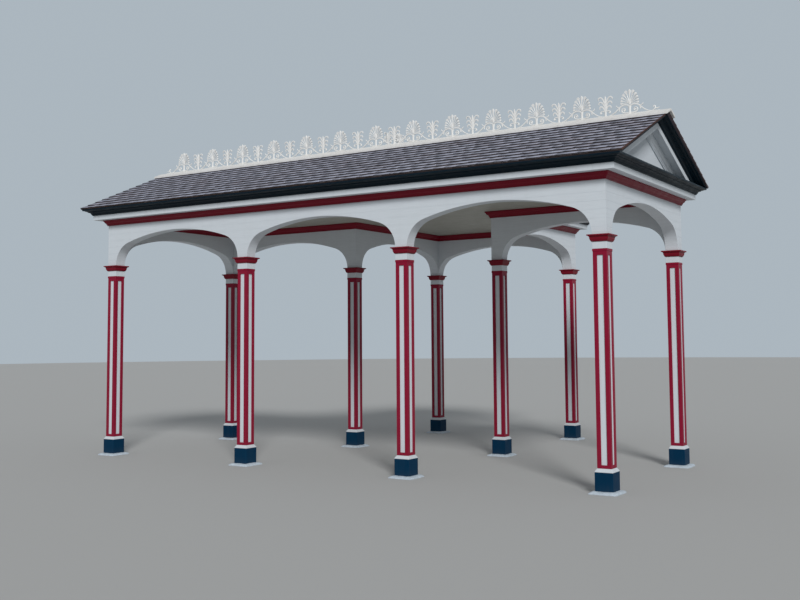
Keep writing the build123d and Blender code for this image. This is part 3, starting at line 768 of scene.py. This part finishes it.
# Cast cresting. Its shapes are splines in millimetres: x along the ridge, y up, and half the width there
crestSizes = {
    "base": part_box("cresting_main")[0].z, "step": 560.0, "reach": 3.7, "halfDepth": 7.4,
    "rail": 6.0, "railWidth": 15.5, "scrollOut": 256.0, "wingStart": 0.0085,
    "lobes": 11, "root": 122.0, "wide": 108.0, "tall": 157.0, "fullness": 1.15,
}
volute = {
    "x": 66.0, "y": 47.0, "radius": 29.0, "first": -70, "turn": 38, "points": 10, "tighten": 0.062,
    "bar": 7.2, "thin": 0.26, "eye": 9.5,
}
# Along a lobe from its root to its tip, and its half width there, both as shares of its length
lobeShape = [
    (0.0, 0.034), (0.28, 0.034), (0.46, 0.034), (0.62, 0.04), (0.76, 0.066), (0.87, 0.132), (0.955, 0.128),
    (1.0, 0.01),
]
tipShape = [
    (0.0, 0.034), (0.28, 0.036), (0.46, 0.042), (0.62, 0.058), (0.76, 0.095), (0.87, 0.11), (0.96, 0.05),
    (0.99, 0.004),
]
footShape = [(0, 0, 23), (0, 5, 22), (0, 16, 15), (0, 36, 13), (0, 62, 14), (0, 82, 19), (0, 92, 17)]
budShape = [(0, 98, 2), (0, 106, 13), (0, 122, 19), (0, 142, 15), (0, 160, 6), (0, 172, 0.6)]
stemShape = [
    (2, 84, 7), (16, 99, 8), (44, 107, 8.6), (76, 105, 8.6), (104, 91, 8.4), (130, 66, 7.8), (160, 40, 7),
    (200, 15, 6.4), (232, 6, 5.4), (258, 4, 3.4),
]
leafShape = [(110, 84, 4), (128, 84, 6.4), (143, 90, 6.8), (152, 102, 5), (155, 114, 0.6)]
spurShape = [(108, 80, 4), (118, 62, 5.4), (122, 50, 6), (116, 42, 4.4), (112, 40, 0.8)]
frondStem = [
    (0, 0, 15), (0, 6, 14.5), (0, 20, 12), (0, 60, 13), (0, 92, 19), (0, 116, 22), (0, 142, 18), (0, 170, 12),
    (0, 196, 14), (0, 218, 10), (0, 238, 0.6),
]
frondRows = [(132, 84, 224), (92, 78, 172), (54, 68, 122)]  # foot, reach and top of each pair
# The rest of each: share of the reach, drop below the top, and half the width
frondTip = [(0.45, 8, 8.2), (0.7, 0, 9), (0.92, 8, 9), (1, 24, 7), (0.93, 36, 1.4)]
curlShape = [(3, 58, 6), (22, 66, 6.4), (44, 66, 6.6), (58, 54, 6.6), (56, 40, 6.8), (44, 38, 6.6), (40, 47, 5)]
curlEye = (47, 47, 8)
scrollShape = [
    (-16, 4, 3.4), (8, 9, 6.4), (26, 24, 7), (34, 42, 7.2), (26, 58, 7.4), (12, 56, 7.2), (12, 44, 6.4),
]
scrollLeaf = [(28, 26, 4), (46, 27, 6.4), (64, 30, 6), (84, 37, 0.7)]


def mirrored(shape):
    return [(-x, y, r) for x, y, r in shape]


def drawBars(shapes):
    # Round bars along the splines, then flattened to the thickness of the casting
    curve = bpy.data.curves.new("castBars", "CURVE")
    curve.dimensions = "3D"
    curve.bevel_depth = 1.0
    curve.bevel_resolution = 1
    curve.use_fill_caps = True
    for shape in shapes:
        spline = curve.splines.new("NURBS")
        spline.points.add(len(shape) - 1)
        for point, (x, y, r) in zip(spline.points, shape):
            point.co = (x, 0, y, 1)
            point.radius = r
        spline.order_u = 3
        spline.use_endpoint_u = True
        spline.resolution_u = 3
    holder = bpy.data.objects.new("castBars", curve)
    mesh = bpy.data.meshes.new_from_object(holder)
    bpy.data.objects.remove(holder)
    bm = bmesh.new()
    bm.from_mesh(mesh)
    bpy.data.meshes.remove(mesh)
    bmesh.ops.remove_doubles(bm, verts=bm.verts, dist=0.01)
    thick = crestSizes["halfDepth"]
    for v in bm.verts:
        v.co.y = max(-thick, min(thick, v.co.y * crestSizes["fullness"]))
    bmesh.ops.recalc_face_normals(bm, faces=bm.faces)
    return bm


def addBall(bm, x, y, radius):
    made = bmesh.ops.create_uvsphere(bm, u_segments=10, v_segments=6, radius=radius)["verts"]
    flat = min(1.0, crestSizes["halfDepth"] / radius)
    for v in made:
        v.co = Vector((v.co.x + x, v.co.y * flat, v.co.z + y))


def drawVolute():
    # From the foot round the outside and in to the eye
    shape = [(4, 16, 6.4), (22, 14, 7), (42, 14, volute["bar"])]
    for k in range(volute["points"]):
        turn = math.radians(volute["first"] + k * volute["turn"])
        r = volute["radius"] * (1 - volute["tighten"] * k)
        x, y = volute["x"] + r * math.cos(turn), volute["y"] + r * math.sin(turn)
        shape.append((x, y, volute["bar"] - volute["thin"] * k))
    return shape


def buildPalmette():
    size = crestSizes
    shapes = [footShape, budShape]
    for k in range(size["lobes"]):
        turn = math.radians(180.0 * k / (size["lobes"] - 1) - 90)
        s, c = math.sin(turn), math.cos(turn)
        length = 1 / math.hypot(s / size["wide"], c / size["tall"])
        shape = tipShape if k == size["lobes"] // 2 else lobeShape
        shapes.append([(t * length * s, size["root"] + t * length * c, w * length) for t, w in shape])
    oneSide = [stemShape, leafShape, spurShape, drawVolute()]
    shapes += oneSide + [mirrored(shape) for shape in oneSide]
    bm = drawBars(shapes)
    for side in (1, -1):
        addBall(bm, side * volute["x"], volute["y"], volute["eye"])
    return bm


def buildFrond():
    shapes = [frondStem]
    for foot, reach, top in frondRows:
        shape = [(3, foot, 6.5), (0.2 * reach, foot + 0.45 * (top - foot), 7.4)]
        shape += [(share * reach, top - drop, width) for share, drop, width in frondTip]
        shapes += [shape, mirrored(shape)]
    shapes += [curlShape, mirrored(curlShape)]
    bm = drawBars(shapes)
    x, y, radius = curlEye
    for side in (1, -1):
        addBall(bm, side * x, y, radius)
    return bm


def buildScroll():
    return drawBars([scrollShape, scrollLeaf])


def toMesh(bm, name):
    mesh = bpy.data.meshes.new(name)
    bm.to_mesh(mesh)
    bm.free()
    return mesh


castUnits = {
    "palmette": toMesh(buildPalmette(), "palmetteUnit"),
    "frond": toMesh(buildFrond(), "frondUnit"),
    "scroll": toMesh(buildScroll(), "scrollUnit"),
}


def buildCresting(name, node, turn, first, last, bothEnds, railStart):
    size = crestSizes
    bm = bmesh.new()
    step, out = size["step"] / 1000, size["scrollOut"] / 1000
    spots = [("palmette", k * step, 0.0) for k in range(first, last + 1)]
    spots += [("frond", (k + 0.5) * step, 0.0) for k in range(first if bothEnds else first - 1, last)]
    spots.append(("scroll", last * step + out, 0.0))
    if bothEnds:
        spots.append(("scroll", -last * step - out, math.pi))
    place = Matrix.Translation((0, plan["ridgeY"], size["base"])) @ Matrix.Rotation(turn, 4, "Z")
    for unit, along, flip in spots:
        count = len(bm.verts)
        bm.from_mesh(castUnits[unit])
        bm.verts.ensure_lookup_table()
        seat = place @ Matrix.Translation((along, 0, 0)) @ Matrix.Rotation(flip, 4, "Z")
        bmesh.ops.transform(bm, matrix=seat @ Matrix.Scale(0.001, 4), verts=bm.verts[count:])
    rail = bmesh.ops.create_cube(bm, size=1.0)["verts"]
    for v in rail:
        along = size["reach"] if v.co.x > 0 else railStart
        up = size["rail"] if v.co.z > 0 else 0.0
        v.co = place @ Vector((along, v.co.y * size["railWidth"] / 1000, up / 1000))
    return addPiece(bm, name, "castWhite", [node], smooth=50)


buildCresting("mainCresting", "cresting_main", 0.0, -6, 6, True, -crestSizes["reach"])
buildCresting("wingCresting", "cresting_wing", math.pi / 2, 1, 6, False, crestSizes["wingStart"])
for mesh in castUnits.values():
    bpy.data.meshes.remove(mesh)
print("cresting cast")

# One screw head near the top of a front panel
screwSizes = {"aside": 0.006, "out": 0.0515, "height": 2.29, "radius": 0.0075, "flat": 0.45}


def buildScrew():
    bm = bmesh.new()
    size = screwSizes
    spot = Vector((plan["bay"] / 2 - size["aside"], plan["frontY"] - size["out"], size["height"]))
    made = bmesh.ops.create_uvsphere(bm, u_segments=14, v_segments=8, radius=size["radius"])["verts"]
    for v in made:
        v.co = Vector((v.co.x, v.co.y * size["flat"], v.co.z)) + spot
    return addPiece(bm, "panelScrew", "screwSteel", smooth=40)


buildScrew()

# Stage: pale floor, soft light, and the photograph's viewing angle
stageLook = {
    "floor": tint(0.47, 0.47, 0.46), "backdrop": tint(0.41, 0.47, 0.52), "sky": tint(0.9, 0.95, 1.0),
    "skyStrength": 0.32, "sunStrength": 2.25, "sunSoftness": 14.0, "sunTowards": (-0.55, 0.62, -0.5),
    "floorRadius": 60.0, "floorRoughness": 0.9, "floorDrop": 0.0005,
}


def buildStage():
    bm = bmesh.new()
    bmesh.ops.create_circle(bm, cap_ends=True, segments=96, radius=stageLook["floorRadius"])
    mesh = bpy.data.meshes.new("floor")
    bm.to_mesh(mesh)
    bm.free()
    material, tree, shader = newMaterial("paleFloor")
    shader.inputs["Base Color"].default_value = stageLook["floor"]
    shader.inputs["Roughness"].default_value = stageLook["floorRoughness"]
    mesh.materials.append(material)
    floor = bpy.data.objects.new("floor", mesh)
    floor.location.z = -stageLook["floorDrop"]
    bpy.context.scene.collection.objects.link(floor)
    world = bpy.data.worlds.new("studio")
    bpy.context.scene.world = world
    world.use_nodes = True
    tree = world.node_tree
    sky = tree.nodes["Background"]
    sky.inputs["Color"].default_value = stageLook["sky"]
    sky.inputs["Strength"].default_value = stageLook["skyStrength"]
    backdrop = wire(tree, "ShaderNodeBackground", (stageLook["backdrop"], 1.0))
    path = wire(tree, "ShaderNodeLightPath").outputs
    bounced = maths(tree, "MAXIMUM", path["Is Glossy Ray"], path["Is Transmission Ray"])
    seen = maths(tree, "MAXIMUM", path["Is Camera Ray"], bounced)
    mix = wire(tree, "ShaderNodeMixShader", (seen, sky.outputs[0], backdrop.outputs[0]))
    tree.links.new(mix.outputs[0], tree.nodes["World Output"].inputs[0])
    sun = bpy.data.objects.new("softSun", bpy.data.lights.new("softSun", "SUN"))
    sun.data.energy = stageLook["sunStrength"]
    sun.data.angle = math.radians(stageLook["sunSoftness"])
    sun.rotation_euler = Vector(stageLook["sunTowards"]).to_track_quat("-Z", "Y").to_euler()
    bpy.context.scene.collection.objects.link(sun)


buildStage()
view = {
    "place": (7.022, -11.5835, 1.512), "yaw": 0.555, "pitch": 0.0736, "roll": -0.0081,
    "lens": 44.84, "shiftX": -0.0181, "shiftY": -0.0444,
}


def buildCamera():
    yaw, pitch, roll = view["yaw"], view["pitch"], view["roll"]
    ahead = Vector((-math.sin(yaw) * math.cos(pitch), math.cos(yaw) * math.cos(pitch), math.sin(pitch)))
    right = Vector((math.cos(yaw), math.sin(yaw), 0))
    up = right.cross(ahead)
    axisX = math.cos(roll) * right + math.sin(roll) * up
    axisY = -math.sin(roll) * right + math.cos(roll) * up
    camera = bpy.data.objects.new("camera", bpy.data.cameras.new("camera"))
    camera.data.lens = view["lens"]
    camera.data.shift_x = view["shiftX"]
    camera.data.shift_y = view["shiftY"]
    turn = Matrix((axisX, axisY, -ahead)).transposed().to_4x4()
    camera.matrix_world = Matrix.Translation(view["place"]) @ turn
    bpy.context.scene.collection.objects.link(camera)
    bpy.context.scene.camera = camera


buildCamera()
bpy.context.scene.view_settings.view_transform = "Standard"
bpy.context.view_layer.update()
print("stage ready")
